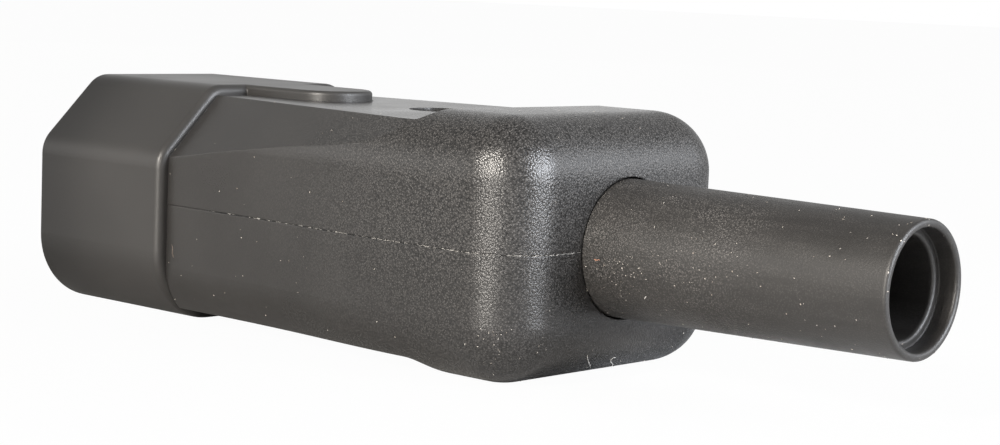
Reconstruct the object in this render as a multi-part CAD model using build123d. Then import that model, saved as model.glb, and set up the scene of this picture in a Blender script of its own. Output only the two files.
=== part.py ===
from build123d import *
import os
from math import radians, sqrt, tan

# Rewireable inlet plug: a hollow shroud with three flat pins, two shells that close
# over the terminals and the cord clamp, and a soft sleeve for the cable.
#
# Lengths are in millimetres. While a piece is modelled, x = 0 is the mouth of the
# shroud and x grows toward the cable, y = 0 is the middle of the plug, and z = 0 is
# the seam between the two shells, which is also the level of the cable's axis.

# Cavity that takes the mating connector
cavity_width = 24.8
cavity_height = 16.6
cavity_depth = 16.6
cavity_bevel = 5.0
cavity_round = 0.8

# Shroud around the cavity
shroud_length = 19.0
shroud_side_wall = 2.6
shroud_top_wall = 3.2
shroud_bottom_wall = 3.3
shroud_bevel = 6.75
shroud_bevel_round = 3.0
shroud_bottom_round = 7.0
mouth_round = 0.4
rim_round = 0.8

# Neck behind the shroud's floor, with the bead that the shells close over
neck_length = 5.1
neck_wall = 1.5
bead_height = 0.7
bead_width = 1.4
bead_from_end = 0.4

# Tongue that runs from the shroud over the upper shell
tongue_width = 8.3
tongue_length = 11.7
tongue_sunk = 0.9
tongue_edge_round = 0.4

# Shells, outside: each step is measured from the shroud's surface, inward unless it is said
shell_length = 45.8
front_step = 1.1
waist_step = 0.65
waist_from_front = 17.5
block_step_outward = 0.15
block_from_front = 31.2
block_corner_radius = 5.8
block_edge_round = 5.5
flat_step = 1.0
flat_length = 31.6
flat_ramp_length = 2.0
underside_step = 1.35
underside_length = 32.0
underside_ramp_length = 4.1
facet_distance = 13.05
facet_rise_degrees = 6.5

# Shells, inside
shell_wall = 1.8
rear_wall = 2.2
lip_height = 0.8
lip_width = 0.8
rib_thickness = 1.4
rail_spacing = 12.0

# Pins
blade_width = 4.0
blade_thickness = 2.0
blade_tip_bevel = 0.6
line_to_neutral = 14.0
earth_above_line = 4.0
line_reach = 13.0
earth_reach = 15.0
terminal_length = 7.5
terminal_width = 5.2
terminal_height = 6.0
terminal_screw_setback = 4.3

# Pin carrier, and the keeper behind the terminals
carrier_plate = 4.0
barrier_thickness = 1.2
keeper_thickness = 1.6
keeper_drop = 0.2
ridge_height = 1.6
ridge_thickness = 1.3

# Terminal screws and clamp washers
terminal_screw_radius = 1.5
terminal_screw_reach = 5.0
terminal_head_radius = 2.4
terminal_head_height = 1.9
washer_thickness = 0.8
screw_slot_width = 0.8
screw_slot_depth = 0.9

# Shell screw and captive nut
shell_screw_from_front = 23.1
recess_radius = 3.3
recess_depth = 4.1
shell_screw_radius = 1.5
shell_screw_past_nut = 0.5
shell_head_radius = 2.8
shell_head_height = 2.2
nut_across_flats = 5.5
nut_height = 2.4
nut_pocket_depth = 3.4
boss_wall = 1.4

# Cord clamp, midway between the screw's boss and the fin
clamp_width = 6.0
clamp_thickness = 1.8
clamp_to_wall = 0.95
clamp_ear = 6.4
clamp_ear_round = 1.5
clamp_below_seam = 1.0
post_radius = 3.0
clamp_screw_radius = 1.2
clamp_screw_reach = 6.5
clamp_head_radius = 2.3
clamp_head_height = 1.8
saddle_rib_spacing = 4.0
saddle_rib_thickness = 1.2

# Cable sleeve
sleeve_length = 29.8
sleeve_root_radius = 6.1
sleeve_tip_radius = 5.65
sleeve_bore_radius = 4.2
sleeve_mouth_radius = 4.95
sleeve_mouth_depth = 1.75
sleeve_lip_round = 0.3
flange_radius = 7.6
flange_thickness = 2.0
fin_thickness = 1.5

# Clearances
fit = 0.15
close_fit = 0.05
cord_room = 0.8

# Sizes that follow from those above
shroud_width = cavity_width + 2 * shroud_side_wall
shroud_above_seam = cavity_height / 2 + shroud_top_wall
shroud_below_seam = cavity_height / 2 + shroud_bottom_wall
shell_front_width = shroud_width - 2 * front_step
waist_width = shroud_width - 2 * waist_step
block_width = shroud_width + 2 * block_step_outward
flat_above_seam = shroud_above_seam - flat_step
front_below_seam = shroud_below_seam - underside_step
front_bottom_round = block_edge_round - underside_step
cord_radius = sleeve_bore_radius + cord_room
boss_radius = recess_radius + boss_wall

# Places that follow from the sizes
front_x = shroud_length
rear_x = front_x + shell_length
tip_x = rear_x + sleeve_length
neck_end_x = front_x + neck_length
plate_x = front_x + carrier_plate
terminal_end_x = plate_x + terminal_length
keeper_end_x = terminal_end_x + keeper_thickness
carrier_end_x = keeper_end_x + close_fit + ridge_thickness
terminal_screw_x = plate_x + terminal_screw_setback
shell_screw_x = front_x + shell_screw_from_front
flange_end_x = rear_x - rear_wall
flange_x = flange_end_x - flange_thickness
fin_end_x = flange_x - close_fit
fin_x = fin_end_x - fin_thickness
clamp_x = (shell_screw_x + boss_radius + fin_x) / 2
line_z = -earth_above_line / 2
earth_z = earth_above_line / 2
line_bottom = line_z - terminal_height / 2
earth_bottom = earth_z - terminal_height / 2
barrier_y = line_to_neutral / 4
barrier_inner_y = barrier_y - barrier_thickness / 2
barrier_outer_y = barrier_y + barrier_thickness / 2
recess_floor = flat_above_seam - recess_depth
nut_top = nut_pocket_depth - front_below_seam
nut_bottom = nut_top - nut_height
clamp_seat = -clamp_below_seam
post_y = block_width / 2 - shell_wall - clamp_to_wall - clamp_ear / 2

# Relief behind the flange, for the rounding where the roof runs into the rear wall
roof_round = block_edge_round - shell_wall
flange_past_round = flange_radius + fit - (shroud_above_seam - block_edge_round)
flange_relief = roof_round - sqrt(roof_round**2 - flange_past_round**2)

# How far each section of the front lies inside the shells' outer surface
neck_inset = shell_wall + fit
carrier_inset = neck_inset + neck_wall + fit
bead_inset = neck_inset - bead_height
groove_inset = bead_inset - fit

# Reach of a cutting tool that has to pass right through, and of a form past its cut
through = 40.0
run_out = 10.0

# Side offset, level and reach in front of the shroud's floor, for each pin
pins = {
    "line": (-line_to_neutral / 2, line_z, line_reach),
    "neutral": (line_to_neutral / 2, line_z, line_reach),
    "earth": (0.0, earth_z, earth_reach),
}


def block(x0, x1, y0, y1, z0, z1):
    """Rectangular block between two opposite corners."""
    middle = Pos((x0 + x1) / 2, (y0 + y1) / 2, (z0 + z1) / 2)
    return middle * Box(x1 - x0, y1 - y0, z1 - z0)


def upright(x, y, z0, z1, radius):
    """Cylinder that stands between two levels."""
    return Pos(x, y, (z0 + z1) / 2) * Cylinder(radius, z1 - z0)


def lengthwise(x0, x1, radius):
    """Cylinder that lies along the cable's axis."""
    return Pos((x0 + x1) / 2, 0, 0) * Rot(0, 90, 0) * Cylinder(radius, x1 - x0)


def prism(section, x0, x1):
    """Cross-section drawn in y and z, carried along x."""
    across = Plane(origin=(x0, 0, 0), x_dir=(0, 1, 0), z_dir=(1, 0, 0))
    return extrude(across * section, x1 - x0)


def above_seam(solid):
    """The part of a solid above the seam."""
    return solid & block(-run_out, tip_x, -through, through, 0, through)


def below_seam(solid):
    """The part of a solid below the seam."""
    return solid & block(-run_out, tip_x, -through, through, -through, 0)


def bevelled_section(half_width, above, below, bevel, top_round, bottom_round):
    """Cross-section with both top corners cut at 45 degrees, and every corner rounded."""
    outline = Polygon(
        (-half_width, -below),
        (half_width, -below),
        (half_width, above - bevel),
        (half_width - bevel, above),
        (bevel - half_width, above),
        (-half_width, above - bevel),
        align=None,
    )
    outline = fillet(outline.vertices().sort_by(Axis.Y)[2:], top_round)
    return fillet(outline.vertices().sort_by(Axis.Y)[:2], bottom_round)


def front_section(inset):
    """Cross-section of the shells at their front, moved inward by the inset."""
    half_width = shell_front_width / 2 - inset
    above = flat_above_seam - inset
    below = front_below_seam - inset
    bevel = half_width + above - sqrt(2) * (facet_distance - inset)
    return bevelled_section(half_width, above, below, bevel, fit, front_bottom_round - inset)


def side_outline(inset, rear_inset):
    """Outline of the shells seen from above: straight, flared, then square with round corners."""
    front = shell_front_width / 2 - inset
    waist = waist_width / 2 - inset
    side = block_width / 2 - inset
    rear = rear_x - rear_inset
    corner = block_corner_radius - inset
    block_x = front_x + block_from_front
    start = front_x - run_out
    lead = Line((start, front), (front_x, front))
    flare = Spline(
        (front_x, front),
        (front_x + waist_from_front, waist),
        (block_x, side),
        tangents=((1, 0), (1, 0)),
    )
    flank = Line((block_x, side), (rear - corner, side))
    turn = JernArc((rear - corner, side), (1, 0), corner, -90)
    half = lead + flare + flank + turn
    front_line = Line((start, front), (start, -front))
    rear_line = Line((rear, side - corner), (rear, corner - side))
    return make_face(half + mirror(half, about=Plane.XZ) + front_line + rear_line)


def flat_cutter(inset):
    """What is taken off the top to leave the flat, with a ramp up to the block."""
    level = flat_above_seam - inset
    top = shroud_above_seam - inset
    ramp_x = front_x + flat_length
    ramp_end = ramp_x + flat_ramp_length
    start = front_x - run_out - 1
    ramp = Spline((ramp_x, level), (ramp_end, top), tangents=((1, 0), (1, 0.3)))
    corners = [(ramp_end, top), (ramp_end, through), (start, through), (start, level), (ramp_x, level)]
    rest = Polyline(*corners)
    return extrude(Plane.XZ * make_face(ramp + rest), through, both=True)


def underside_cutter(inset):
    """What is taken off underneath the front, with a gentle ramp down to the block."""
    level = inset - front_below_seam
    bottom = inset - shroud_below_seam
    ramp_x = front_x + underside_length
    ramp_end = ramp_x + underside_ramp_length
    start = front_x - run_out - 1
    ramp = Spline((ramp_x, level), (ramp_end, bottom), tangents=((1, 0), (1, -0.15)))
    corners = [(ramp_end, bottom), (ramp_end, -through), (start, -through), (start, level), (ramp_x, level)]
    rest = Polyline(*corners)
    return extrude(Plane.XZ * make_face(ramp + rest), through, both=True)


def facet_cutter(inset):
    """What is taken off one upper corner: a 45 degree facet that runs out at the block."""
    rise = tan(radians(facet_rise_degrees))
    distance = facet_distance - inset
    start = (front_x - run_out, distance - run_out * rise)
    end = (rear_x, distance + shell_length * rise)
    outline = Polygon(start, end, (rear_x, through), (start[0], through), align=None)
    leaning = Plane(origin=(0, 0, 0), x_dir=(1, 0, 0), z_dir=(0, -1, 1))
    return extrude(leaning * outline, through, both=True)


def shell_form(inset, rear_inset):
    """Closed outer form of the two shells together, moved inward by the insets.

    It runs on past the shells' front, so that an inner form opens the front when it is cut."""
    above = shroud_above_seam - inset
    below = shroud_below_seam - inset
    form = extrude(Pos(0, 0, -below) * side_outline(inset, rear_inset), above + below)
    ends = form.faces().sort_by(Axis.Z)
    edges = ends[0].edges() + ends[-1].edges()
    edges = edges.filter_by(lambda edge: edge.center().X > front_x - run_out + 1)
    form = fillet(edges, block_edge_round - inset)
    facet = facet_cutter(inset)
    return form - flat_cutter(inset) - underside_cutter(inset) - facet - mirror(facet, about=Plane.XZ)


def inside(solid):
    """The part of a solid that lies within the middle of the shells' wall."""
    return solid & shell_form(shell_wall / 2, rear_wall / 2)


def screw(x, y, seat, radius, reach, head_radius, head_height):
    """Slotted pan-head screw whose head sits on a level, with its shank below it."""
    head = upright(x, y, seat, seat + head_height, head_radius)
    head = fillet(head.edges().group_by(Axis.Z)[-1], head_height / 3)
    shank = upright(x, y, seat - reach, seat + head_height / 2, radius)
    slot_floor = seat + head_height - screw_slot_depth
    half_slot = screw_slot_width / 2
    slot = block(x - head_radius, x + head_radius, y - half_slot, y + half_slot, slot_floor, through)
    return head + shank - slot


def tongue(growth, underside):
    """Round-ended tongue over the upper shell, from an underside up to the shroud's top."""
    half_width = tongue_width / 2
    middle_x = front_x + tongue_length - half_width
    level = (underside + shroud_above_seam) / 2
    height = shroud_above_seam - underside
    straight = block(
        front_x - 1,
        middle_x,
        -half_width - growth,
        half_width + growth,
        underside,
        shroud_above_seam,
    )
    return straight + Pos(middle_x, 0, level) * Cylinder(half_width + growth, height)


def blade_slot(name, x0, x1):
    """Slot that one pin's blade passes through."""
    y, z, _ = pins[name]
    half_slot = blade_thickness / 2 + close_fit
    half_height = blade_width / 2 + close_fit
    return block(x0, x1, y - half_slot, y + half_slot, z - half_height, z + half_height)


def shroud():
    """Hollow front, open at the mouth, with a slotted floor, a neck behind and the tongue."""
    outside = bevelled_section(
        shroud_width / 2,
        shroud_above_seam,
        shroud_below_seam,
        shroud_bevel,
        shroud_bevel_round,
        shroud_bottom_round,
    )
    cavity = bevelled_section(
        cavity_width / 2,
        cavity_height / 2,
        cavity_height / 2,
        cavity_bevel,
        cavity_round,
        cavity_round,
    )
    body = prism(outside, 0, front_x)
    ends = body.faces().sort_by(Axis.X)
    body = fillet(ends[0].edges(), mouth_round)
    body = fillet(body.faces().sort_by(Axis.X)[-1].edges(), rim_round)
    body -= prism(cavity, 0, cavity_depth)
    cap = tongue(0, flat_above_seam - tongue_sunk)
    rim = cap.edges().group_by(Axis.Z)[-1].filter_by(lambda edge: edge.center().X > front_x)
    body += fillet(rim, tongue_edge_round)
    neck = prism(front_section(neck_inset), front_x - rim_round, neck_end_x)
    bead_end = neck_end_x - bead_from_end
    neck += prism(front_section(bead_inset), bead_end - bead_width, bead_end)
    neck -= prism(front_section(neck_inset + neck_wall), front_x, neck_end_x)
    body += neck
    for name in pins:
        body -= blade_slot(name, cavity_depth - 1, front_x + 1)
    return body


def pin_carrier():
    """Insulating block behind the floor, with a barrier on each side of the earth terminal."""
    carrier = prism(front_section(carrier_inset), front_x, carrier_end_x)
    for side in (-1, 1):
        y0, y1 = sorted((side * barrier_outer_y, side * through))
        carrier -= block(plate_x, terminal_end_x, y0, y1, line_bottom, through)
    carrier -= block(plate_x, terminal_end_x, -barrier_inner_y, barrier_inner_y, earth_bottom, through)
    slot_end = keeper_end_x + close_fit
    carrier -= block(terminal_end_x, slot_end, -through, through, line_bottom, through)
    carrier -= block(slot_end, tip_x, -through, through, line_bottom + ridge_height, through)
    for name in pins:
        carrier -= blade_slot(name, front_x - 1, plate_x + 1)
    return carrier


def pin(name):
    """Flat blade with a square terminal behind it, drilled from above for the screw."""
    y, z, reach = pins[name]
    half_blade = blade_thickness / 2
    half_terminal = terminal_width / 2
    bottom = z - terminal_height / 2
    top = z + terminal_height / 2
    blade = block(
        cavity_depth - reach,
        terminal_end_x - 1,
        y - half_blade,
        y + half_blade,
        z - blade_width / 2,
        z + blade_width / 2,
    )
    blade = chamfer(blade.faces().sort_by(Axis.X)[0].edges(), blade_tip_bevel)
    terminal = block(plate_x, terminal_end_x, y - half_terminal, y + half_terminal, bottom, top)
    hole_radius = terminal_screw_radius + close_fit
    hole = upright(terminal_screw_x, y, top - terminal_screw_reach, top + 1, hole_radius)
    return blade + terminal - hole


def clamp_washer(name):
    """Square washer that presses the wire onto the terminal."""
    y, z, _ = pins[name]
    top = z + terminal_height / 2
    half = terminal_width / 2
    washer = block(
        terminal_screw_x - half,
        terminal_screw_x + half,
        y - half,
        y + half,
        top,
        top + washer_thickness,
    )
    return washer - upright(terminal_screw_x, y, top - 1, top + 2, terminal_screw_radius + fit)


def terminal_screw(name):
    """Screw that holds the washer down on the terminal."""
    y, z, _ = pins[name]
    return screw(
        terminal_screw_x,
        y,
        z + terminal_height / 2 + washer_thickness,
        terminal_screw_radius,
        terminal_screw_reach,
        terminal_head_radius,
        terminal_head_height,
    )


def terminal_keeper():
    """Plate behind the terminals that stops the pins from being pushed back."""
    half_width = shell_front_width / 2 - carrier_inset
    line_top = line_z + terminal_height / 2 - keeper_drop
    earth_top = earth_z + terminal_height / 2 - keeper_drop
    low = block(terminal_end_x, keeper_end_x, -half_width, half_width, line_bottom, line_top)
    high = block(terminal_end_x, keeper_end_x, -barrier_outer_y, barrier_outer_y, line_bottom, earth_top)
    return low + high


def fin():
    """Wall across the inside that keeps the sleeve's flange against the rear wall."""
    slab = block(fin_x, fin_end_x, -through, through, -through, through)
    return inside(slab) - lengthwise(fin_x - 1, fin_end_x + 1, cord_radius)


def shell_lip(growth):
    """Band along the inner half of the wall, above the seam, that lines the shells up."""
    outer = shell_form(shell_wall - lip_width - growth, rear_wall - lip_width - growth)
    inner = shell_form(shell_wall, rear_wall)
    start = neck_end_x + fit - growth
    return (outer - inner) & block(start, rear_x, -through, through, 0, lip_height + growth)


def bead_groove():
    """Room inside the shells for the bead on the shroud's neck."""
    end = neck_end_x - bead_from_end + fit
    return prism(front_section(groove_inset), end - bead_width - 2 * fit, end)


def hollow_shells():
    """Both shells in one: the outer form with the inner form taken out of it."""
    outer = shell_form(0, 0) & block(front_x, rear_x + 1, -through, through, -through, through)
    shells = outer - shell_form(shell_wall, rear_wall) - bead_groove()
    return shells + fin()


def sleeve_hole():
    """Hole in the rear wall for the sleeve."""
    return lengthwise(flange_end_x - 1, rear_x + 1, sleeve_root_radius + fit)


def upper_shell():
    """Upper shell, with the screw's recess, the tongue's seat and the ribs over the keeper."""
    ribs = upright(shell_screw_x, 0, 0, through, boss_radius)
    keeper_top = earth_z + terminal_height / 2 - keeper_drop
    for side in (-1, 1):
        y0, y1 = sorted((side * barrier_inner_y, side * barrier_outer_y))
        ribs += block(terminal_end_x, keeper_end_x, y0, y1, keeper_top, through)
    shell = above_seam(hollow_shells()) + inside(ribs)
    shell -= upright(shell_screw_x, 0, recess_floor, through, recess_radius)
    shell -= upright(shell_screw_x, 0, -1, recess_floor + 1, shell_screw_radius + fit)
    shell -= tongue(fit, flat_above_seam - tongue_sunk)
    shell -= shell_lip(close_fit)
    return shell - sleeve_hole()


def lower_shell():
    """Lower shell, with the lip, the nut's pocket, the clamp's posts and the carrier's stops."""
    carrier_bottom = carrier_inset - front_below_seam
    ridge_top = line_bottom + ridge_height
    half_stop = shell_front_width / 2 - carrier_inset
    stop_end = carrier_end_x + rib_thickness
    ribs = upright(shell_screw_x, 0, -through, 0, boss_radius)
    ribs += block(carrier_end_x, stop_end, -half_stop, half_stop, -through, ridge_top)
    for side in (-1, 1):
        y0 = (side * rail_spacing - rib_thickness) / 2
        ribs += block(neck_end_x + fit, stop_end, y0, y0 + rib_thickness, -through, carrier_bottom)
        ribs += upright(clamp_x, side * post_y, -through, clamp_seat, post_radius)
        x0 = clamp_x + (side * saddle_rib_spacing - saddle_rib_thickness) / 2
        ribs += block(x0, x0 + saddle_rib_thickness, -post_y, post_y, -through, clamp_seat)
    shell = below_seam(hollow_shells()) + inside(ribs)
    shell -= lengthwise(clamp_x - clamp_width / 2, clamp_x + clamp_width / 2, cord_radius)
    for side in (-1, 1):
        pilot_bottom = clamp_seat - clamp_screw_reach
        shell -= upright(clamp_x, side * post_y, pilot_bottom, 1, clamp_screw_radius + close_fit)
    shell -= upright(shell_screw_x, 0, -through, 1, shell_screw_radius + fit)
    pocket = RegularPolygon(nut_across_flats / 2 + fit, 6, major_radius=False)
    shell -= extrude(Pos(shell_screw_x, 0, nut_top) * pocket, -through)
    shell += shell_lip(0)
    return shell - sleeve_hole()


def cable_sleeve():
    """Tapered sleeve with a flange at the root and a wider mouth at the tip."""
    outline = Polygon(
        (flange_x, sleeve_bore_radius),
        (flange_x, flange_radius),
        (flange_end_x - flange_relief, flange_radius),
        (flange_end_x, sleeve_root_radius),
        (rear_x, sleeve_root_radius),
        (tip_x, sleeve_tip_radius),
        (tip_x, sleeve_mouth_radius),
        (tip_x - sleeve_mouth_depth, sleeve_mouth_radius),
        (tip_x - sleeve_mouth_depth, sleeve_bore_radius),
        align=None,
    )
    sleeve = revolve(Plane.XZ * outline, Axis.X)
    lip = sleeve.edges().group_by(Axis.X)[-1]
    sleeve = fillet(lip, sleeve_lip_round)
    step = sleeve.edges().filter_by(GeomType.CIRCLE)
    step = step.filter_by(lambda edge: abs(edge.center().X - tip_x + sleeve_mouth_depth) < 0.01)
    return fillet(step.sort_by(SortBy.LENGTH)[0], sleeve_lip_round)


def cord_clamp_bar():
    """Arched bar that is screwed down over the cord."""
    inner = sleeve_bore_radius
    ear_end = post_y + clamp_ear / 2
    ears = Pos(0, clamp_seat + clamp_thickness / 2) * Rectangle(2 * ear_end, clamp_thickness)
    section = ears + Circle(inner + clamp_thickness) - Circle(inner)
    section &= Pos(0, clamp_seat + through / 2) * Rectangle(through, through)
    bar = prism(section, clamp_x - clamp_width / 2, clamp_x + clamp_width / 2)
    corners = bar.edges().filter_by(Axis.Z).filter_by(lambda edge: abs(edge.center().Y) > post_y)
    bar = fillet(corners, clamp_ear_round)
    for side in (-1, 1):
        bar -= upright(clamp_x, side * post_y, -through, through, clamp_screw_radius + fit)
    return bar


def clamp_screw(side):
    """One of the two screws of the cord clamp."""
    return screw(
        clamp_x,
        side * post_y,
        clamp_seat + clamp_thickness,
        clamp_screw_radius,
        clamp_screw_reach,
        clamp_head_radius,
        clamp_head_height,
    )


def shell_screw():
    """Long screw through both shells into the captive nut."""
    reach = recess_floor - nut_bottom + shell_screw_past_nut
    return screw(
        shell_screw_x,
        0,
        recess_floor,
        shell_screw_radius,
        reach,
        shell_head_radius,
        shell_head_height,
    )


def shell_nut():
    """Hexagonal nut in the pocket under the lower shell."""
    hexagon = RegularPolygon(nut_across_flats / 2, 6, major_radius=False)
    nut = extrude(Pos(shell_screw_x, 0, nut_bottom) * hexagon, nut_height)
    return nut - upright(shell_screw_x, 0, -through, through, shell_screw_radius + close_fit)


pieces = {
    "shroud": shroud(),
    "pin_carrier": pin_carrier(),
    "terminal_keeper": terminal_keeper(),
    "upper_shell": upper_shell(),
    "lower_shell": lower_shell(),
    "cable_sleeve": cable_sleeve(),
    "cord_clamp_bar": cord_clamp_bar(),
    "left_clamp_screw": clamp_screw(-1),
    "right_clamp_screw": clamp_screw(1),
    "shell_screw": shell_screw(),
    "shell_nut": shell_nut(),
}
for name in pins:
    pieces[name + "_pin"] = pin(name)
    pieces[name + "_clamp_washer"] = clamp_washer(name)
    pieces[name + "_terminal_screw"] = terminal_screw(name)

# The finished plug stands on the plane z = 0, with the middle of its footprint at the origin
place = Pos(-tip_x / 2, 0, shroud_below_seam)
os.makedirs("parts", exist_ok=True)
for name, piece in pieces.items():
    export_step(place * piece, "parts/" + name + ".step")
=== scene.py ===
from math import cos, pi, radians, sin

import bpy
import numpy as np
from mathutils import Matrix, Vector
from mathutils.bvhtree import BVHTree


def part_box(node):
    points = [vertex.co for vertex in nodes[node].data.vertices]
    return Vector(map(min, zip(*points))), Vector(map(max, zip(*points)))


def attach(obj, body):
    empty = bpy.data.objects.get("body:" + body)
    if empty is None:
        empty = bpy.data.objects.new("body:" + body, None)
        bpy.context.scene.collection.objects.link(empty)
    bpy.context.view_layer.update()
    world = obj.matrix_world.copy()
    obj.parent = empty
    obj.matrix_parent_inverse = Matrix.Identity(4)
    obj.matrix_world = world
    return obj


bl_info = {
    "name": "Rewireable inlet plug",
    "version": (1, 0, 0),
    "blender": (4, 5, 0),
    "location": "View3D > Sidebar > Plug",
    "description": "Finishes, mould flash, dust and stage for a black rewireable inlet plug",
    "category": "Object",
}

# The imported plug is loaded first, so that every place below can come from it.
# Lengths are in metres, with +X from the shroud's mouth toward the cable and +Z up.
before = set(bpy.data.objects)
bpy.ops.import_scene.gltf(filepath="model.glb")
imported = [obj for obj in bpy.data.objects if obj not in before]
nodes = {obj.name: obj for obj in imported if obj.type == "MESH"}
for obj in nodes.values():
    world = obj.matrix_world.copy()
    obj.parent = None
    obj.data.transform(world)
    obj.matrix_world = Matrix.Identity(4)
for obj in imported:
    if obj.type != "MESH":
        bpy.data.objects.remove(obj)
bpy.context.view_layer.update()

MM = 0.001
SHELLS = ("upper_shell", "lower_shell")
DUSTY = SHELLS + ("cable_sleeve",)
CONTACTS = ("line_pin", "neutral_pin", "earth_pin")
INSULATORS = ("pin_carrier", "terminal_keeper", "cord_clamp_bar")
FASTENERS = (
    "line_clamp_washer",
    "neutral_clamp_washer",
    "earth_clamp_washer",
    "line_terminal_screw",
    "neutral_terminal_screw",
    "earth_terminal_screw",
    "left_clamp_screw",
    "right_clamp_screw",
    "shell_screw",
    "shell_nut",
)

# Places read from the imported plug
(front_x, _, _), (rear_x, _, _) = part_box("lower_shell")
seam_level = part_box("upper_shell")[0][2]
mouth_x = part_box("shroud")[0][0]

# The photograph's frame in pixels, and the width in millimetres of the sensor behind the lens
PHOTO_WIDTH = 1000
PHOTO_HEIGHT = 445
SENSOR_WIDTH = 36.0

WHITE = (1, 1, 1, 1)
SEAM_BLACK = (0.002, 0.002, 0.002, 1)

# Refractive index of the plastics and the rubber
PLASTIC_IOR = 1.5

# Turn of the patterns, in radians, which keeps their cells from lining up with the flat faces
PATTERN_TURN = (0.5, 0.8, 0.3)


# Settings that a user would change

class PlugFinish(bpy.types.PropertyGroup):
    """Colours and surface sizes of the plug's plastics and rubber."""

    shell_colour: bpy.props.FloatVectorProperty(
        name="Shell colour",
        description="Black plastic of the two shells",
        subtype="COLOR", size=4, min=0, max=1, default=(0.022, 0.021, 0.0202, 1),
    )
    shroud_colour: bpy.props.FloatVectorProperty(
        name="Shroud colour",
        description="Black plastic of the shroud and its tongue",
        subtype="COLOR", size=4, min=0, max=1, default=(0.026, 0.0248, 0.0238, 1),
    )
    sleeve_colour: bpy.props.FloatVectorProperty(
        name="Sleeve colour",
        description="Black rubber of the cable sleeve",
        subtype="COLOR", size=4, min=0, max=1, default=(0.026, 0.0245, 0.0232, 1),
    )
    dust_colour: bpy.props.FloatVectorProperty(
        name="Dust colour",
        description="Pale dust that lies in the texture",
        subtype="COLOR", size=4, min=0, max=1, default=(0.45, 0.42, 0.39, 1),
    )
    flash_colour: bpy.props.FloatVectorProperty(
        name="Flash colour",
        description="Stressed plastic of the ragged flash along the seam",
        subtype="COLOR", size=4, min=0, max=1, default=(0.26, 0.25, 0.235, 1),
    )
    grain_size: bpy.props.FloatProperty(
        name="Grain size",
        description="Width of one grain of the spark-eroded texture",
        subtype="DISTANCE", unit="LENGTH", min=0.00002, max=0.001, precision=6, default=0.000175,
    )
    grain_height: bpy.props.FloatProperty(
        name="Grain height",
        description="Height of the spark-eroded texture",
        subtype="DISTANCE", unit="LENGTH", min=0, max=0.0002, precision=6, default=0.000029,
    )
    edge_round: bpy.props.FloatProperty(
        name="Edge rounding",
        description="Radius by which shading softens the moulded edges",
        subtype="DISTANCE", unit="LENGTH", min=0, max=0.001, precision=5, default=0.00022,
    )


class PlugTrace(bpy.types.PropertyGroup):
    """Sizes and counts of the seam's flash, the dust and the lint."""

    flash_count: bpy.props.IntProperty(
        name="Flash pieces",
        description="Number of ragged slivers along the seam",
        min=0, max=2000, default=260,
    )
    flash_height: bpy.props.FloatProperty(
        name="Flash height",
        description="Half the height of the largest sliver of flash",
        subtype="DISTANCE", unit="LENGTH", min=0, max=0.0005, precision=5, default=0.00005,
    )
    mote_count: bpy.props.IntProperty(
        name="Dust motes",
        description="Number of loose motes spread over the shells and the sleeve",
        min=0, max=5000, default=600,
    )
    mote_size: bpy.props.FloatProperty(
        name="Mote size",
        description="Half the length of the largest dust mote",
        subtype="DISTANCE", unit="LENGTH", min=0, max=0.0005, precision=6, default=0.000085,
    )
    lint_radius: bpy.props.FloatProperty(
        name="Lint radius",
        description="Radius of a lint fibre",
        subtype="DISTANCE", unit="LENGTH", min=0, max=0.0002, precision=6, default=0.000035,
    )


class PlugStage(bpy.types.PropertyGroup):
    """Camera, lamps, floor and room."""

    camera_place: bpy.props.FloatVectorProperty(
        name="Camera place",
        description="Place of the camera, worked out from the edges in the photograph",
        subtype="TRANSLATION", unit="LENGTH", size=3, precision=5, default=(0.13493, -0.14706, 0.03388),
    )
    camera_yaw: bpy.props.FloatProperty(
        name="Camera yaw",
        description="Turn of the view from +Y toward -X",
        subtype="ANGLE", default=radians(42.022),
    )
    camera_pitch: bpy.props.FloatProperty(
        name="Camera pitch",
        description="Dip of the view below the horizon",
        subtype="ANGLE", default=radians(6.221),
    )
    camera_roll: bpy.props.FloatProperty(
        name="Camera roll",
        description="Roll of the camera about its line of sight",
        subtype="ANGLE", default=radians(2.354),
    )
    lens: bpy.props.FloatProperty(
        name="Lens",
        description="Focal length in millimetres on a sensor 36 mm wide",
        min=10, max=400, default=78.155,
    )
    # Behind the plug's front the floor is painted paler: painted light on the floor, which the plug sees
    floor_colour: bpy.props.FloatVectorProperty(
        name="Floor colour",
        description="Colour that the floor shows to the plug under its front; it is paler behind",
        subtype="COLOR", size=4, min=0, max=1, default=(0.33, 0.33, 0.33, 1),
    )
    floor_white: bpy.props.FloatProperty(
        name="Floor white",
        description="Share of plain white in what the camera sees of the floor",
        subtype="FACTOR", min=0, max=1, default=0.97,
    )
    room_strength: bpy.props.FloatProperty(
        name="Room strength",
        description="Strength of the room's light from the sides; it is weaker overhead",
        min=0, max=2, default=0.63,
    )
    lamp_strength: bpy.props.FloatProperty(
        name="Lamp strength",
        description="Multiplier for the power of all the lamps",
        min=0, max=10, default=1.0,
    )


def finish_settings():
    """The plug's finish settings in this scene."""
    return bpy.context.scene.plug_finish


def trace_settings():
    """The plug's settings for flash, dust and lint in this scene."""
    return bpy.context.scene.plug_trace


def stage_settings():
    """The plug's stage settings in this scene."""
    return bpy.context.scene.plug_stage


# Shader maths

class Signal:
    """What a node puts out. Arithmetic on a number adds Math nodes to the same tree."""

    def __init__(self, wiring, socket):
        self.wiring = wiring
        self.socket = socket

    def __add__(self, other):
        return self.wiring.maths("ADD", self, other)

    def __radd__(self, other):
        return self.wiring.maths("ADD", other, self)

    def __sub__(self, other):
        return self.wiring.maths("SUBTRACT", self, other)

    def __rsub__(self, other):
        return self.wiring.maths("SUBTRACT", other, self)

    def __mul__(self, other):
        return self.wiring.maths("MULTIPLY", self, other)

    def __rmul__(self, other):
        return self.wiring.maths("MULTIPLY", other, self)

    def __abs__(self):
        return self.wiring.maths("ABSOLUTE", self)


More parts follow.
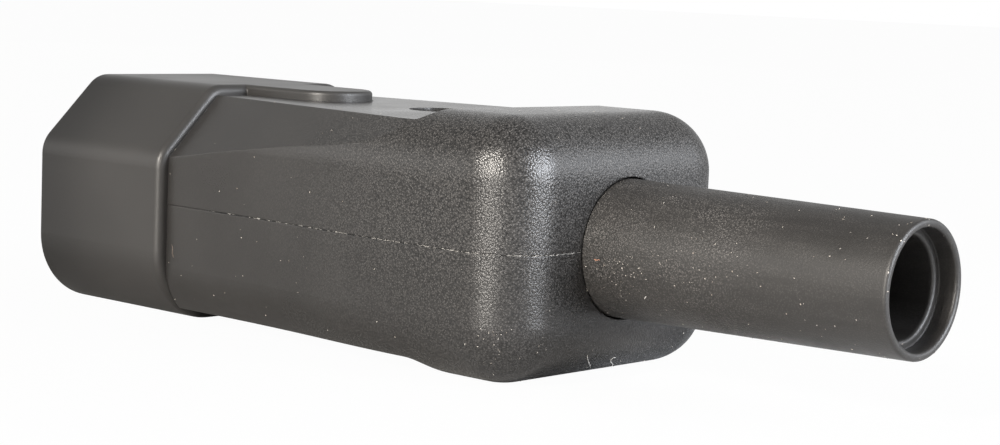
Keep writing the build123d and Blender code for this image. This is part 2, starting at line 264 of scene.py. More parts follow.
class Wiring:
    """A tree of nodes, emptied and filled anew, with the node that ends it."""

    def __init__(self, tree, ending):
        self.tree = tree
        self.tree.nodes.clear()
        self.ending = self.tree.nodes.new(ending)

    def feed(self, socket, value):
        """Links a signal to a socket, or sets the socket to a plain value."""
        if isinstance(value, Signal):
            self.tree.links.new(value.socket, socket)
        else:
            socket.default_value = value

    def end_with(self, surface):
        """Links a shader to the node that ends the tree."""
        self.feed(self.ending.inputs["Surface"], surface)

    def node(self, kind, sockets=None, outlet=0, **settings):
        """Adds a node: its settings first, then the values or links of its sockets."""
        node = self.tree.nodes.new(kind)
        for key, value in settings.items():
            setattr(node, key, value)
        for key, value in (sockets or {}).items():
            self.feed(node.inputs[key], value)
        return Signal(self, node.outputs[outlet])

    def maths(self, operation, first, second=0.0):
        """One Math node."""
        return self.node("ShaderNodeMath", {0: first, 1: second}, operation=operation)


class Paint(Wiring):
    """One procedural material, with its nodes."""

    def __init__(self, name):
        self.material = bpy.data.materials.new(name)
        self.material.use_nodes = True
        super().__init__(self.material.node_tree, "ShaderNodeOutputMaterial")
        self.body = self.node("ShaderNodeBsdfPrincipled")
        self.end_with(self.body)
        self.place = self.node("ShaderNodeTexCoord", outlet="Object")
        self.turned = self.node("ShaderNodeMapping", {"Vector": self.place, "Rotation": PATTERN_TURN})

    def noise(self, size, detail=2.0, roughness=0.5):
        """Noise whose features are about as wide as the size, at an angle to the plug's flat faces."""
        sockets = {"Vector": self.turned, "Scale": 1 / size, "Detail": detail, "Roughness": roughness}
        return self.node("ShaderNodeTexNoise", sockets)

    def streaks(self, along, across, detail):
        """Noise whose features are as long as the first length along X, and as wide as the second."""
        scale = (1 / along, 1 / across, 1 / across)
        stretched = self.node("ShaderNodeMapping", {"Vector": self.place, "Scale": scale})
        return self.node("ShaderNodeTexNoise", {"Vector": stretched, "Scale": 1.0, "Detail": detail})

    def grains(self, size):
        """Distance from the middle of the nearest of many close-set grains, from 0 to about 1."""
        sockets = {"Vector": self.turned, "Scale": 1 / size}
        return self.node("ShaderNodeTexVoronoi", sockets, outlet="Distance")

    def specks(self, spacing, radius, share):
        """Mask of small round specks, in a share of the cells of the given spacing."""
        sockets = {"Vector": self.place, "Scale": 1 / spacing}
        near = self.node("ShaderNodeTexVoronoi", sockets, outlet="Distance")
        cell = self.node("ShaderNodeTexVoronoi", sockets, outlet="Color")
        chance = self.node("ShaderNodeSeparateColor", {0: cell}, outlet="Red")
        rim = radius / spacing
        return self.rise(near, rim, 0.6 * rim) * self.rise(chance, 1 - share, 1.0)

    def part(self, axis):
        """One of the three Object coordinates, X, Y or Z."""
        return self.node("ShaderNodeSeparateXYZ", {0: self.place}, outlet=axis)

    def rise(self, signal, low, high):
        """Smooth step from 0 at the low value to 1 at the high one."""
        sockets = {"Value": signal, "From Min": low, "From Max": high}
        return self.node("ShaderNodeMapRange", sockets, interpolation_type="SMOOTHSTEP")

    def mix(self, mask, low, high):
        """Colour that goes from low to high with the mask."""
        return self.node("ShaderNodeMix", {0: mask, 6: low, 7: high}, outlet=2, data_type="RGBA")

    def uneven(self, mask, colour, spread):
        """A colour that goes with the mask from a share darker to the same share lighter."""
        return self.mix(mask, shade(colour, 1 - spread), shade(colour, 1 + spread))

    def bump(self, height, distance, normal=None):
        """Normal bent by a height signal from 0 to 1, which stands for the distance."""
        sockets = {"Height": height, "Distance": distance}
        if normal is not None:
            sockets["Normal"] = normal
        return self.node("ShaderNodeBump", sockets)

    def edges(self, radius):
        """Normal that rounds sharp edges by a radius."""
        return self.node("ShaderNodeBevel", {"Radius": radius}, samples=6)

    def set(self, **sockets):
        """Sets or links the shader's own sockets; an underscore in a name stands for a space."""
        for key, value in sockets.items():
            self.feed(self.body.socket.node.inputs[key.replace("_", " ")], value)
        return self.material


def shade(colour, factor):
    """A colour made lighter or darker by a factor."""
    return tuple(factor * channel for channel in colour[:3]) + (1.0,)


def shell_plastic():
    """Spark-eroded black plastic whose grain grows toward the block, with painted glints on the grain's tops,
    painted shade in its pits, and the dark line of the seam.
    """
    look = finish_settings()
    paint = Paint("shell_plastic")
    colour = tuple(look.shell_colour)
    along, level = paint.part("X"), paint.part("Z")
    cloud = paint.rise(paint.noise(9 * MM, detail=3.0), 0.3, 0.7)

    # The grain is faint by the shroud, full at the block, and weaker below the seam
    faint, weaker = 0.10, 0.6
    coarse = faint + (1 - faint) * paint.rise(along, front_x + 10 * MM, front_x + 42 * MM)
    coarse = coarse * (weaker + (1 - weaker) * paint.rise(level, seam_level - 6 * MM, seam_level + 2 * MM))
    grain = paint.grains(look.grain_size)
    # Lighter grain tops are painted glints and darker gaps between grains are painted shade; both grow with
    # the grain
    painted_pit_shade = paint.rise(grain, 0.55, 0.80) * coarse
    painted_glint = paint.rise(grain, 0.42, 0.20) * coarse

    # The dark line is broken here and there, and starts a little behind the shroud's rim
    line = paint.rise(abs(level - seam_level), 0.10 * MM, 0.03 * MM)
    open_stretch = paint.rise(paint.noise(1.6 * MM, detail=3.0), 0.38, 0.52)
    gap = line * open_stretch * paint.rise(along, front_x + 6 * MM, front_x + 7 * MM)

    base = paint.uneven(cloud, colour, 0.08)
    base = paint.mix(painted_pit_shade, base, shade(colour, 0.25))
    base = paint.mix(painted_glint * 0.75, base, shade(colour, 4.5))
    base = paint.mix(paint.specks(1.3 * MM, 0.05 * MM, 0.12) * 0.8, base, tuple(look.dust_colour))
    base = paint.mix(gap, base, SEAM_BLACK)
    rough = 0.28 + 0.06 * cloud - 0.08 * painted_glint + 0.2 * gap
    normal = paint.bump((1 - grain) * coarse, look.grain_height, paint.edges(look.edge_round))
    return paint.set(Base_Color=base, Roughness=rough, Normal=normal, IOR=PLASTIC_IOR)


def shroud_plastic():
    """Smooth satin black plastic with a faint cloudiness from the mould, darker round the mouth."""
    look = finish_settings()
    paint = Paint("shroud_plastic")
    colour = tuple(look.shroud_colour)
    cloud = paint.noise(11 * MM, detail=4.0)
    behind_mouth = paint.rise(paint.part("X"), mouth_x, mouth_x + 13 * MM)
    base = paint.uneven(paint.rise(cloud, 0.3, 0.7), colour, 0.08)
    base = paint.mix(behind_mouth, shade(colour, 0.35), base)
    base = paint.mix(paint.specks(1.9 * MM, 0.04 * MM, 0.05) * 0.6, base, tuple(look.dust_colour))
    rough = 0.40 + 0.07 * paint.rise(cloud, 0.25, 0.75)
    normal = paint.bump(paint.noise(0.16 * MM), 0.006 * MM, paint.edges(look.edge_round))
    return paint.set(Base_Color=base, Roughness=rough, Normal=normal, IOR=PLASTIC_IOR)


def sleeve_rubber():
    """Matte black rubber with dust rubbed along it, painted shade and glints in its grain, small pale specks,
    and an end that hands wiped.
    """
    look = finish_settings()
    paint = Paint("sleeve_rubber")
    colour = tuple(look.sleeve_colour)
    cloud = paint.noise(5 * MM, detail=4.0, roughness=0.6)
    streak = paint.streaks(9 * MM, 1.1 * MM, detail=3.0)
    grain = paint.grains(0.165 * MM)
    handled = paint.rise(paint.part("X"), rear_x + 13 * MM, rear_x + 20 * MM)

    # The film of dust is thin everywhere, thicker in some patches, and mostly gone at the handled end. It
    # sets where the grain shows its painted shade in the pits and its painted glints on the tops
    thin = 0.35
    film = thin + (1 - thin) * paint.rise(cloud, 0.40, 0.62) * paint.rise(streak, 0.35, 0.65)
    dusty = film * (1 - 0.8 * handled)

    base = paint.uneven(paint.rise(streak, 0.3, 0.7), colour, 0.15)
    base = paint.mix(handled * 0.3, base, shade(colour, 0.4))
    # Darker grain pits are painted shade and lighter grain tops are painted glints, where the film of dust
    # lies
    base = paint.mix(paint.rise(grain, 0.50, 0.80) * dusty, base, shade(colour, 0.3))
    base = paint.mix(paint.rise(grain, 0.42, 0.20) * dusty, base, shade(colour, 4.5))
    base = paint.mix(paint.specks(0.9 * MM, 0.05 * MM, 0.2) * 0.8, base, tuple(look.dust_colour))
    rough = 0.42 + 0.12 * paint.rise(cloud, 0.3, 0.7) - 0.05 * handled
    normal = paint.bump((1 - grain) * (1 - 0.7 * handled), 0.03 * MM, paint.edges(look.edge_round))
    return paint.set(Base_Color=base, Roughness=rough, Normal=normal, IOR=PLASTIC_IOR)


def insulator_plastic():
    """Hard black moulding for the pin carrier, the keeper and the cord clamp."""
    paint = Paint("insulator_plastic")
    dark, light = (0.032, 0.031, 0.030, 1), (0.044, 0.042, 0.041, 1)
    cloud = paint.rise(paint.noise(4 * MM, detail=3.0), 0.3, 0.7)
    base = paint.mix(cloud, dark, light)
    rough = 0.38 + 0.10 * cloud
    normal = paint.bump(paint.noise(0.3 * MM), 0.008 * MM)
    return paint.set(Base_Color=base, Roughness=rough, Normal=normal, IOR=PLASTIC_IOR)


def pin_metal():
    """Nickel-plated brass, drawn along the blade, with faint rubbing lines."""
    paint = Paint("pin_metal")
    dark, light = (0.68, 0.66, 0.60, 1), (0.78, 0.76, 0.71, 1)
    drawn = paint.streaks(6 * MM, 0.12 * MM, detail=2.0)
    base = paint.mix(paint.rise(paint.noise(2.5 * MM), 0.3, 0.7), dark, light)
    rough = 0.22 + 0.16 * paint.rise(drawn, 0.3, 0.7)
    return paint.set(Base_Color=base, Roughness=rough, Metallic=1.0, Normal=paint.bump(drawn, 0.004 * MM))


def screw_steel():
    """Zinc-plated steel with a mottled passivated skin."""
    paint = Paint("screw_steel")
    dark, light = (0.50, 0.50, 0.49, 1), (0.64, 0.63, 0.60, 1)
    mottle = paint.noise(0.8 * MM, detail=4.0, roughness=0.6)
    base = paint.mix(paint.rise(mottle, 0.35, 0.65), dark, light)
    rough = 0.28 + 0.18 * paint.rise(mottle, 0.3, 0.7)
    return paint.set(Base_Color=base, Roughness=rough, Metallic=1.0, Normal=paint.bump(mottle, 0.006 * MM))


def flash_plastic():
    """Stressed, whitened plastic of the ragged flash along the seam."""
    paint = Paint("seam_flash")
    colour = tuple(finish_settings().flash_colour)
    patch = paint.noise(0.5 * MM)
    base = paint.mix(paint.rise(patch, 0.35, 0.65), shade(colour, 0.45), shade(colour, 1.15))
    return paint.set(Base_Color=base, Roughness=0.55 + 0.15 * patch, IOR=PLASTIC_IOR)


def dust_fluff(name, dark, light):
    """Dull fluff between a dark and a light colour."""
    paint = Paint(name)
    patch = paint.noise(0.7 * MM)
    base = paint.mix(paint.rise(patch, 0.35, 0.65), dark, light)
    return paint.set(Base_Color=base, Roughness=0.8 + 0.1 * patch)


def dress(names, material):
    """Gives CAD nodes a material in place of the plain one they come with."""
    for name in names:
        for slot in nodes[name].material_slots:
            slot.material = material


# Surfaces

def closed_tubes(centres, normals, binormals, radii, flatness, sides):
    """Grids for closed tubes: each centre plus the radius times (cos a times normal times flatness
    plus sin a times binormal). The arrays run over tubes and rows; a new axis runs round the tube."""
    turn = np.linspace(0, 2 * pi, sides, endpoint=False)
    across = np.cos(turn)[:, None] * normals[..., None, :] * flatness
    along = np.sin(turn)[:, None] * binormals[..., None, :]
    return centres[..., None, :] + radii[..., None, None] * (across + along)


def closed_mesh(name, grids, material):
    """One object from many closed tubes: each ring joins the next with quads, and each end ring
    closes on a pole at its own middle. Grids run over tubes, rows, the points of a ring, and x, y, z."""
    tubes, rows, sides, _ = grids.shape
    poles = grids[:, [0, -1]].mean(axis=2)
    points = np.concatenate([grids.reshape(tubes, -1, 3), poles], axis=1)
    row, side = np.meshgrid(np.arange(rows - 1), np.arange(sides), indexing="ij")
    after = (side + 1) % sides
    corners = [row * sides + side, row * sides + after, (row + 1) * sides + after, (row + 1) * sides + side]
    quads = np.stack(corners, axis=-1).reshape(-1, 4)
    ring = np.arange(sides)
    turned = (ring + 1) % sides
    last = (rows - 1) * sides
    start_pole = np.full(sides, rows * sides)
    start = np.stack([start_pole, turned, ring], axis=-1)
    end = np.stack([start_pole + 1, last + ring, last + turned], axis=-1)
    triangles = np.concatenate([start, end])
    offsets = np.arange(tubes)[:, None, None] * points.shape[1]
    quads = (quads[None] + offsets).reshape(-1, 4)
    triangles = (triangles[None] + offsets).reshape(-1, 3)
    mesh = bpy.data.meshes.new(name)
    mesh.from_pydata(points.reshape(-1, 3).tolist(), [], quads.tolist() + triangles.tolist())
    mesh.validate()
    mesh.polygons.foreach_set("use_smooth", np.ones(len(mesh.polygons), dtype=bool))
    mesh.materials.append(material)
    piece = bpy.data.objects.new(name, mesh)
    bpy.context.scene.collection.objects.link(piece)
    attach(piece, "root")


def unit(vectors):
    """The same vectors at length 1."""
    return vectors / np.linalg.norm(vectors, axis=-1, keepdims=True)


def tree_of(name):
    """Search tree of a CAD node, whose own coordinates are those of the plug."""
    return BVHTree.FromObject(nodes[name], bpy.context.evaluated_depsgraph_get())


def first_hits(names, starts, directions):
    """Where rays first meet any of the CAD nodes: the points and the outward normals.

    A ray that meets none ends as far away as the ray before it, with the same normal: a fibre
    that reaches past the plug's edge hangs free there."""
    trees = [tree_of(name) for name in names]
    points = []
    normals = []
    reach = None
    for start, direction in zip(starts, directions):
        hits = [tree.ray_cast(Vector(start), Vector(direction)) for tree in trees]
        hits = [hit for hit in hits if hit[0] is not None]
        if hits:
            point, normal, _, reach = min(hits, key=lambda hit: hit[3])
        elif reach is None:
            raise RuntimeError("The first ray meets none of " + ", ".join(names))
        else:
            point = Vector(start) + reach * Vector(direction)
        points.append(point)
        normals.append(normal)
    return np.array(points), unit(np.array(normals))


def view_axes():
    """The camera's right, up and forward directions, from its yaw, pitch and roll."""
    stage = stage_settings()
    yaw, pitch, roll = stage.camera_yaw, stage.camera_pitch, stage.camera_roll
    forward = np.array((-sin(yaw) * cos(pitch), cos(yaw) * cos(pitch), -sin(pitch)))
    level = np.array((cos(yaw), sin(yaw), 0))
    upright = np.cross(level, forward)
    right = cos(roll) * level + sin(roll) * upright
    up = cos(roll) * upright - sin(roll) * level
    return right, up, forward


def under_pixels(pixels, names):
    """Points and normals where the photograph's pixels fall on the CAD nodes."""
    stage = stage_settings()
    right, up, forward = view_axes()
    pixel = SENSOR_WIDTH / PHOTO_WIDTH / stage.lens
    offset = (np.array(pixels) - (PHOTO_WIDTH / 2, PHOTO_HEIGHT / 2)) * pixel
    directions = unit(forward + offset[:, :1] * right - offset[:, 1:] * up)
    starts = np.tile(np.array(stage.camera_place), (len(pixels), 1))
    return first_hits(names, starts, directions)


def outer_points(name, count, rng):
    """Random points, evenly spread over the outside of a CAD node, with their normals.

    A triangle is drawn by its area, and a point in it by two random numbers; a point whose
    normal runs into the same node again lies inside and is left out."""
    mesh = nodes[name].data
    mesh.calc_loop_triangles()
    triangles = np.empty(3 * len(mesh.loop_triangles), dtype=np.int32)
    mesh.loop_triangles.foreach_get("vertices", triangles)
    places = np.empty(3 * len(mesh.vertices), dtype=np.float32)
    mesh.vertices.foreach_get("co", places)
    corners = places.reshape(-1, 3)[triangles.reshape(-1, 3)]
    across = np.cross(corners[:, 1] - corners[:, 0], corners[:, 2] - corners[:, 0])
    area = np.linalg.norm(across, axis=1)
    pick = rng.choice(len(area), count, p=area / area.sum())
    first, second = rng.random((2, count, 1))
    fold = first + second > 1
    first, second = np.where(fold, 1 - first, first), np.where(fold, 1 - second, second)
    chosen = corners[pick]
    points = chosen[:, 0] + first * (chosen[:, 1] - chosen[:, 0]) + second * (chosen[:, 2] - chosen[:, 0])
    normals = across[pick] / area[pick][:, None]
    tree = tree_of(name)
    clear_of_start = 0.05 * MM
    starts = points + clear_of_start * normals
    free = [
        tree.ray_cast(Vector(start), Vector(normal))[0] is None
        for start, normal in zip(starts, normals)
    ]
    return points[free], normals[free]


def motes(points, normals, half_length, rng):
    """Grids for small lying lumps: the radius is a sine over the length, roughened at random,
    the middle line bends sideways by a sine twice as fast, and each lump is flattened toward the
    surface that it lies on."""
    rows, sides = 5, 7
    flatness, lift = 0.6, 0.3
    count = len(points)
    heading = unit(np.cross(normals, rng.normal(size=(count, 3))))
    size = half_length * rng.uniform(0.4, 1.0, (count, 1))
    thickness = size * rng.uniform(0.4, 0.8, (count, 1))
    phase = np.linspace(0.1 * pi, 0.9 * pi, rows)
    bend = 0.3 * size * np.sin(phase * 2) * rng.normal(size=(count, 1))
    sideways = np.cross(heading, normals)
    spine = points[:, None] - (size * np.cos(phase))[..., None] * heading[:, None]
    spine = spine + bend[..., None] * sideways[:, None] + (lift * thickness)[..., None] * normals[:, None]
    radii = thickness * np.sin(phase) * rng.uniform(0.7, 1.2, (count, rows))
    shape = (count, rows, 3)
    outward = np.broadcast_to(normals[:, None], shape)
    binormals = np.broadcast_to(sideways[:, None], shape)
    return closed_tubes(spine, outward, binormals, radii, flatness, sides)


def seam_path(count):
    """Points and outward normals round the shells at the seam, from the front of the near side,
    round the rear, to the front of the far side.

    Rays run inward from a path that keeps to a distance from the middle line. It is straight beside
    the flanks and a half circle round the rear, where the middle line ends before the corners. The
    points are counted along the flanks and a smaller half circle near the shells' own corners."""
    corner_reach = 9 * MM
    turn_radius = 15 * MM
    distance = 40 * MM
    least_distance = 18 * MM
    front_gap = 0.2 * MM
    below_seam = 0.3 * MM
    middle_end = rear_x - corner_reach
    straight = middle_end - front_x
    length = 2 * straight + pi * turn_radius
    at = np.linspace(0, length, count)
    near = at < straight
    far = at > length - straight
    turn = np.clip((at - straight) / (length - 2 * straight), 0, 1) * pi - pi / 2
    x = np.where(near, front_x + at, np.where(far, front_x + length - at, middle_end))
    outward = np.stack([np.cos(turn), np.sin(turn), np.zeros(count)], axis=1)
    flanks = near | far
    outward[flanks, 0] = 0
    outward[flanks, 1] = np.where(near[flanks], -1, 1)
    middle = np.stack([x, np.zeros(count), np.full(count, seam_level - below_seam)], axis=1)
    starts = middle + distance * outward
    clear_of_sleeve = np.abs(starts[:, 1]) > least_distance
    kept = clear_of_sleeve & (x > front_x + front_gap)
    points, normals = first_hits(("lower_shell",), starts[kept], -outward[kept])
    points[:, 2] = seam_level
    return points, normals


def smooth_line(points, count):
    """A line of more points through a few: straight runs between them, then each point averaged
    with its neighbours at weights of 1, 2, 3, 2 and 1."""
    weights = np.array((1, 2, 3, 2, 1)) / 9
    few = np.linspace(0, 1, len(points))
    many = np.linspace(0, 1, count)
    runs = np.stack([np.interp(many, few, points[:, axis]) for axis in range(3)], axis=1)
    padded = np.concatenate([runs[:1]] * 2 + [runs] + [runs[-1:]] * 2)
    return np.stack([np.convolve(padded[:, axis], weights, mode="valid") for axis in range(3)], axis=1)


# Operators

class PLUG_OT_shells(bpy.types.Operator):
    """Give the two shells their textured black plastic"""
    bl_idname = "plug.shells"
    bl_label = "Shells"

    def execute(self, context):
        dress(SHELLS, shell_plastic())
        return {"FINISHED"}


class PLUG_OT_shroud(bpy.types.Operator):
    """Give the shroud its smooth satin plastic"""
    bl_idname = "plug.shroud"
    bl_label = "Shroud"

    def execute(self, context):
        dress(("shroud",), shroud_plastic())
        return {"FINISHED"}


class PLUG_OT_sleeve(bpy.types.Operator):
    """Give the cable sleeve its dusty rubber"""
    bl_idname = "plug.sleeve"
    bl_label = "Cable sleeve"

    def execute(self, context):
        dress(("cable_sleeve",), sleeve_rubber())
        return {"FINISHED"}


class PLUG_OT_inside(bpy.types.Operator):
    """Give the pins, the insulators and the fasteners their finishes"""
    bl_idname = "plug.inside"
    bl_label = "Pins, insulators and fasteners"

    def execute(self, context):
        dress(CONTACTS, pin_metal())
        dress(INSULATORS, insulator_plastic())
        dress(FASTENERS, screw_steel())
        return {"FINISHED"}


class PLUG_OT_seam_flash(bpy.types.Operator):
    """Lay ragged slivers of flash along the seam between the shells"""
    bl_idname = "plug.seam_flash"
    bl_label = "Seam flash"

    seed = 11
    stations = 1400

    # Share of flash at the very front, beside a share that grows with the square of the way back
    front_share = 0.08

    # Least and greatest half length of a sliver
    half_lengths = (0.06 * MM, 0.30 * MM)

    # Mean height of its middle line above the seam, and the standard deviation from that height
    above_seam = 0.02 * MM
    stray = 0.025 * MM

    def execute(self, context):
        trace = trace_settings()
        rng = np.random.default_rng(self.seed)
        points, normals = seam_path(self.stations)
        way_back = np.clip((points[:, 0] - front_x) / (rear_x - front_x), 0, 1)
        share = (self.front_share + way_back ** 2)[:-1]
        pick = np.sort(rng.choice(len(share), trace.flash_count, p=share / share.sum()))
        heading = unit(points[pick + 1] - points[pick])
        outward = normals[pick]
        rows, sides, flatness = 6, 6, 0.7
        count = len(pick)
        half_length = rng.uniform(*self.half_lengths, (count, 1))
        phase = np.linspace(0.06 * pi, 0.94 * pi, rows)
        lift = rng.normal(size=(count, rows)) * self.stray + self.above_seam
        spine = points[pick][:, None] - (half_length * np.cos(phase))[..., None] * heading[:, None]
        spine = spine + lift[..., None] * np.array((0, 0, 1.0))
        height = trace.flash_height * rng.uniform(0.25, 1.0, (count, 1))
        radii = height * np.sin(phase) * rng.uniform(0.6, 1.2, (count, rows))
        shape = (count, rows, 3)
        binormals = np.broadcast_to(np.cross(heading, outward)[:, None], shape)
        outward = np.broadcast_to(outward[:, None], shape)
        grids = closed_tubes(spine, outward, binormals, radii, flatness, sides)
        closed_mesh("seam_flash", grids, flash_plastic())
        return {"FINISHED"}


class PLUG_OT_dust(bpy.types.Operator):
    """Scatter loose motes of dust over the shells and the sleeve"""
    bl_idname = "plug.dust"
    bl_label = "Dust"

    seed = 5
    dark, light = (0.22, 0.19, 0.16, 1), (0.50, 0.47, 0.43, 1)
    shares = {"upper_shell": 0.15, "lower_shell": 0.45, "cable_sleeve": 0.40}

    # Points drawn for each one that is used, because those inside a node are left out
    spare = 4

    # Middle and half size in the photograph's pixels, and number of motes, of each thick patch
    patches = {
        "below_block_corner": ((505, 345), (45, 22), 26),
        "sleeve_root": ((622, 275), (26, 22), 45),
        "sleeve_middle": ((700, 270), (60, 40), 40),
    }

    # Size of the patches' motes, as a share of the others' size
    patch_size = 0.8

    def execute(self, context):
        trace = trace_settings()
        rng = np.random.default_rng(self.seed)
        grids = []
        for name, share in self.shares.items():
            count = share * trace.mote_count
            points, normals = outer_points(name, int(self.spare * count), rng)
            used = slice(int(count))
            grids.append(motes(points[used], normals[used], trace.mote_size, rng))
        for middle, reach, count in self.patches.values():
            turn = rng.uniform(0, 2 * pi, count)
            spread = np.sqrt(rng.random(count))
            offset = np.stack([np.cos(turn), np.sin(turn)], axis=1) * spread[:, None] * reach
            points, normals = under_pixels(middle + offset, DUSTY)
            grids.append(motes(points, normals, self.patch_size * trace.mote_size, rng))
        material = dust_fluff("loose_dust", self.dark, self.light)
        closed_mesh("dust_motes", np.concatenate(grids), material)
        return {"FINISHED"}


class PLUG_OT_lint(bpy.types.Operator):
    """Lay the few lint fibres that cling to the plug, as round tubes that taper at both ends"""
    bl_idname = "plug.lint"
    bl_label = "Lint"

    # The fibres' paths, in the photograph's pixels
    fibres = {
        "lint_below_block": [(588, 354), (587, 357), (588, 361), (590, 365), (590, 369)],
        "lint_curl_below_block": [(616, 357), (612, 358), (610, 361), (613, 364), (611, 367)],
        "lint_beside_rim": [(172, 244), (173, 249), (172.5, 253), (174, 258)],
        "lint_on_sleeve": [(644.5, 299), (645.5, 297), (646.6, 296.5)],
        "lint_curl_on_sleeve": [(593.8, 258.8), (595.3, 260), (597.2, 260.2), (598.8, 259.6), (599.8, 259.9)],
    }

    def execute(self, context):
        radius = trace_settings().lint_radius
        pale = dust_fluff("pale_lint", (0.5, 0.49, 0.47, 1), (0.75, 0.74, 0.72, 1))
        ruddy = dust_fluff("ruddy_lint", (0.40, 0.20, 0.13, 1), (0.55, 0.30, 0.20, 1))
        dull = dust_fluff("dull_lint", (0.16, 0.13, 0.11, 1), (0.24, 0.20, 0.17, 1))
        materials = {"lint_curl_on_sleeve": ruddy, "lint_beside_rim": dull}
        rows, sides, flatness, lift = 25, 6, 1.0, 0.8
        taper = np.sin(np.linspace(0.15, pi - 0.15, rows)) ** 0.4
        for name, pixels in self.fibres.items():
            points, normals = under_pixels(pixels, DUSTY)
            spine = smooth_line(points + lift * radius * normals, rows)
            heading = unit(np.gradient(spine, axis=0))
            binormals = unit(np.cross(heading, unit(smooth_line(normals, rows))))
            outward = np.cross(binormals, heading)
            frames = (spine[None], outward[None], binormals[None])
            grids = closed_tubes(*frames, radius * taper[None], flatness, sides)
            closed_mesh(name, grids, materials.get(name, pale))
        return {"FINISHED"}


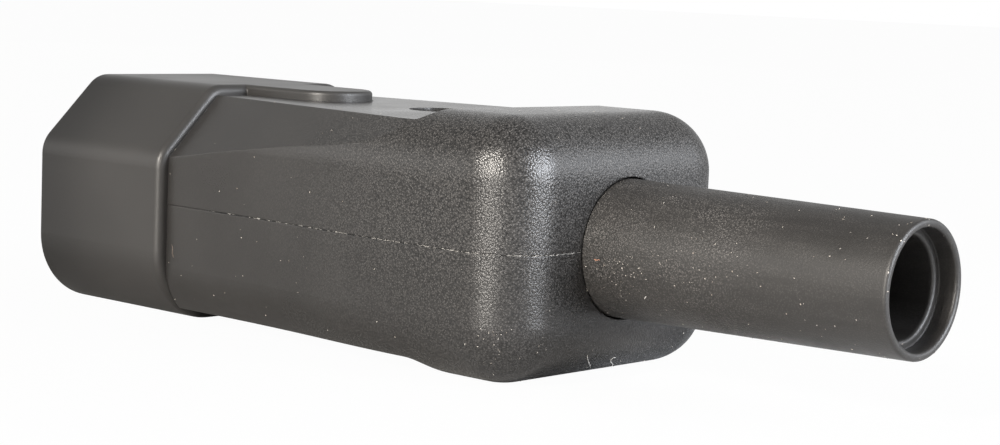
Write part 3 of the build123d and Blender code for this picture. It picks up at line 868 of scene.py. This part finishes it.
class PLUG_OT_stage(bpy.types.Operator):
    """Set the pale floor, the soft lamps and the camera of the photograph"""
    bl_idname = "plug.stage"
    bl_label = "Stage"

    # Each lamp's azimuth from -Y toward +X and its elevation, in degrees, its distance from the
    # plug and its width, in metres, its power in watts and its colour
    lamps = {
        "warm_window": (7, 27, 0.60, 0.09, 5.0, (1.0, 0.94, 0.86)),
        "cool_window": (104, 25, 0.60, 0.21, 4.0, (0.89, 0.93, 1.0)),
        "cool_sky": (138, 19, 0.60, 0.30, 1.0, (0.92, 0.95, 1.0)),
        "warm_side": (12, 3, 0.60, 0.14, 2.1, (1.0, 0.95, 0.88)),
        "cool_side": (99, 4, 0.60, 0.17, 2.5, (0.92, 0.95, 1.0)),
        "far_side": (318, 6, 0.60, 0.45, 0.75, (1.0, 0.97, 0.94)),
        "backdrop": (232, 10, 0.80, 0.50, 0.4, (1.0, 1.0, 1.0)),
    }

    def execute(self, context):
        self.floor(context)
        self.room(context)
        for name, lamp in self.lamps.items():
            self.lamp(context, name, *lamp)
        self.camera(context)
        context.scene.view_settings.view_transform = "Standard"
        return {"FINISHED"}

    def floor(self, context):
        """A flat floor that the camera sees as white but for the plug's soft shadow. It is painted paler
        behind the plug's front, from one place along X to another: a painted pool of light that the plug
        sees."""
        stage = stage_settings()
        colour = tuple(stage.floor_colour)
        half_width = 3.0
        painted_light_from, painted_light_to = -0.03, 0.05
        painted_light_by = 1.6
        corners = half_width * np.array([(-1, -1, 0), (1, -1, 0), (1, 1, 0), (-1, 1, 0)])
        mesh = bpy.data.meshes.new("floor")
        mesh.from_pydata(corners.tolist(), [], [(0, 1, 2, 3)])
        piece = bpy.data.objects.new("floor", mesh)
        context.scene.collection.objects.link(piece)
        paint = Paint("floor")
        behind = paint.rise(paint.part("X"), painted_light_from, painted_light_to)
        # Painted light: the floor's colour grows paler behind the plug's front
        paint.set(Base_Color=paint.mix(behind, colour, shade(colour, painted_light_by)), Roughness=0.9)
        white = paint.node("ShaderNodeEmission", {"Color": WHITE, "Strength": 1.0})
        seen = paint.node("ShaderNodeLightPath", outlet="Is Camera Ray")
        share = seen * stage.floor_white
        paint.end_with(paint.node("ShaderNodeMixShader", {0: share, 1: paint.body, 2: white}))
        mesh.materials.append(paint.material)

    def room(self, context):
        """A room that is white to the camera. Its light on the plug is at full strength from the
        sides and at a share of that from overhead, and falls off between two heights, which are
        those of the direction's end when its length is 1."""
        strength = stage_settings().room_strength
        dims_from, dims_to = 0.25, 0.8
        overhead_share = 0.5
        world = bpy.data.worlds.new("room")
        world.use_nodes = True
        wiring = Wiring(world.node_tree, "ShaderNodeOutputWorld")
        direction = wiring.node("ShaderNodeTexCoord", outlet="Generated")
        height = wiring.node("ShaderNodeSeparateXYZ", {0: direction}, outlet="Z")
        heights = {"Value": height, "From Min": dims_from, "From Max": dims_to}
        strengths = {"To Min": strength, "To Max": overhead_share * strength}
        dimmed = wiring.node("ShaderNodeMapRange", {**heights, **strengths})
        soft = wiring.node("ShaderNodeBackground", {"Color": WHITE, "Strength": dimmed})
        plain = wiring.node("ShaderNodeBackground", {"Color": WHITE, "Strength": 1.0})
        seen = wiring.node("ShaderNodeLightPath", outlet="Is Camera Ray")
        wiring.end_with(wiring.node("ShaderNodeMixShader", {0: seen, 1: soft, 2: plain}))
        context.scene.world = world

    def lamp(self, context, name, azimuth, elevation, distance, size, power, colour):
        """A square soft lamp that looks at the middle of the plug."""
        light = bpy.data.lights.new(name, "AREA")
        light.size = size
        light.energy = power * stage_settings().lamp_strength
        light.color = colour
        turn, tilt = radians(azimuth), radians(elevation)
        toward = Vector((sin(turn) * cos(tilt), -cos(turn) * cos(tilt), sin(tilt)))
        lamp = bpy.data.objects.new(name, light)
        lamp.location = toward * distance + Vector((0, 0, seam_level))
        lamp.rotation_euler = toward.to_track_quat("Z", "Y").to_euler()
        context.scene.collection.objects.link(lamp)

    def camera(self, context):
        """The camera, at the photograph's place, angle and lens."""
        stage = stage_settings()
        right, up, forward = view_axes()
        lens = bpy.data.cameras.new("camera")
        lens.lens = stage.lens
        lens.sensor_width = SENSOR_WIDTH
        lens.sensor_fit = "HORIZONTAL"
        lens.clip_start = 0.01
        lens.clip_end = 20.0
        camera = bpy.data.objects.new("camera", lens)
        turned = Matrix(np.stack([right, up, -forward], axis=1).tolist()).to_4x4()
        camera.matrix_world = Matrix.Translation(stage.camera_place) @ turned
        context.scene.collection.objects.link(camera)
        context.scene.camera = camera


OPERATORS = (
    PLUG_OT_shells,
    PLUG_OT_shroud,
    PLUG_OT_sleeve,
    PLUG_OT_inside,
    PLUG_OT_seam_flash,
    PLUG_OT_dust,
    PLUG_OT_lint,
    PLUG_OT_stage,
)


class PLUG_PT_sidebar(bpy.types.Panel):
    """Lists the plug's operators and settings."""
    bl_idname = "PLUG_PT_sidebar"
    bl_label = "Rewireable inlet plug"
    bl_space_type = "VIEW_3D"
    bl_region_type = "UI"
    bl_category = "Plug"

    def draw(self, context):
        layout = self.layout
        for operator in OPERATORS:
            layout.operator(operator.bl_idname)
        for group in (finish_settings(), trace_settings(), stage_settings()):
            box = layout.box()
            for key in group.__annotations__:
                box.prop(group, key)


GROUPS = {"plug_finish": PlugFinish, "plug_trace": PlugTrace, "plug_stage": PlugStage}


def register():
    """Registers the classes and hangs the settings on the scene."""
    for group in GROUPS.values():
        bpy.utils.register_class(group)
    for name, group in GROUPS.items():
        setattr(bpy.types.Scene, name, bpy.props.PointerProperty(type=group))
    for item in OPERATORS + (PLUG_PT_sidebar,):
        bpy.utils.register_class(item)


def unregister():
    """Takes the settings off the scene and unregisters the classes."""
    for item in reversed(OPERATORS + (PLUG_PT_sidebar,)):
        bpy.utils.unregister_class(item)
    for name in GROUPS:
        delattr(bpy.types.Scene, name)
    for group in reversed(tuple(GROUPS.values())):
        bpy.utils.unregister_class(group)


def main():
    """Builds everything in order."""
    register()
    bpy.ops.plug.shells()
    bpy.ops.plug.shroud()
    bpy.ops.plug.sleeve()
    bpy.ops.plug.inside()
    bpy.ops.plug.seam_flash()
    bpy.ops.plug.dust()
    bpy.ops.plug.lint()
    bpy.ops.plug.stage()


if __name__ == "__main__":
    main()
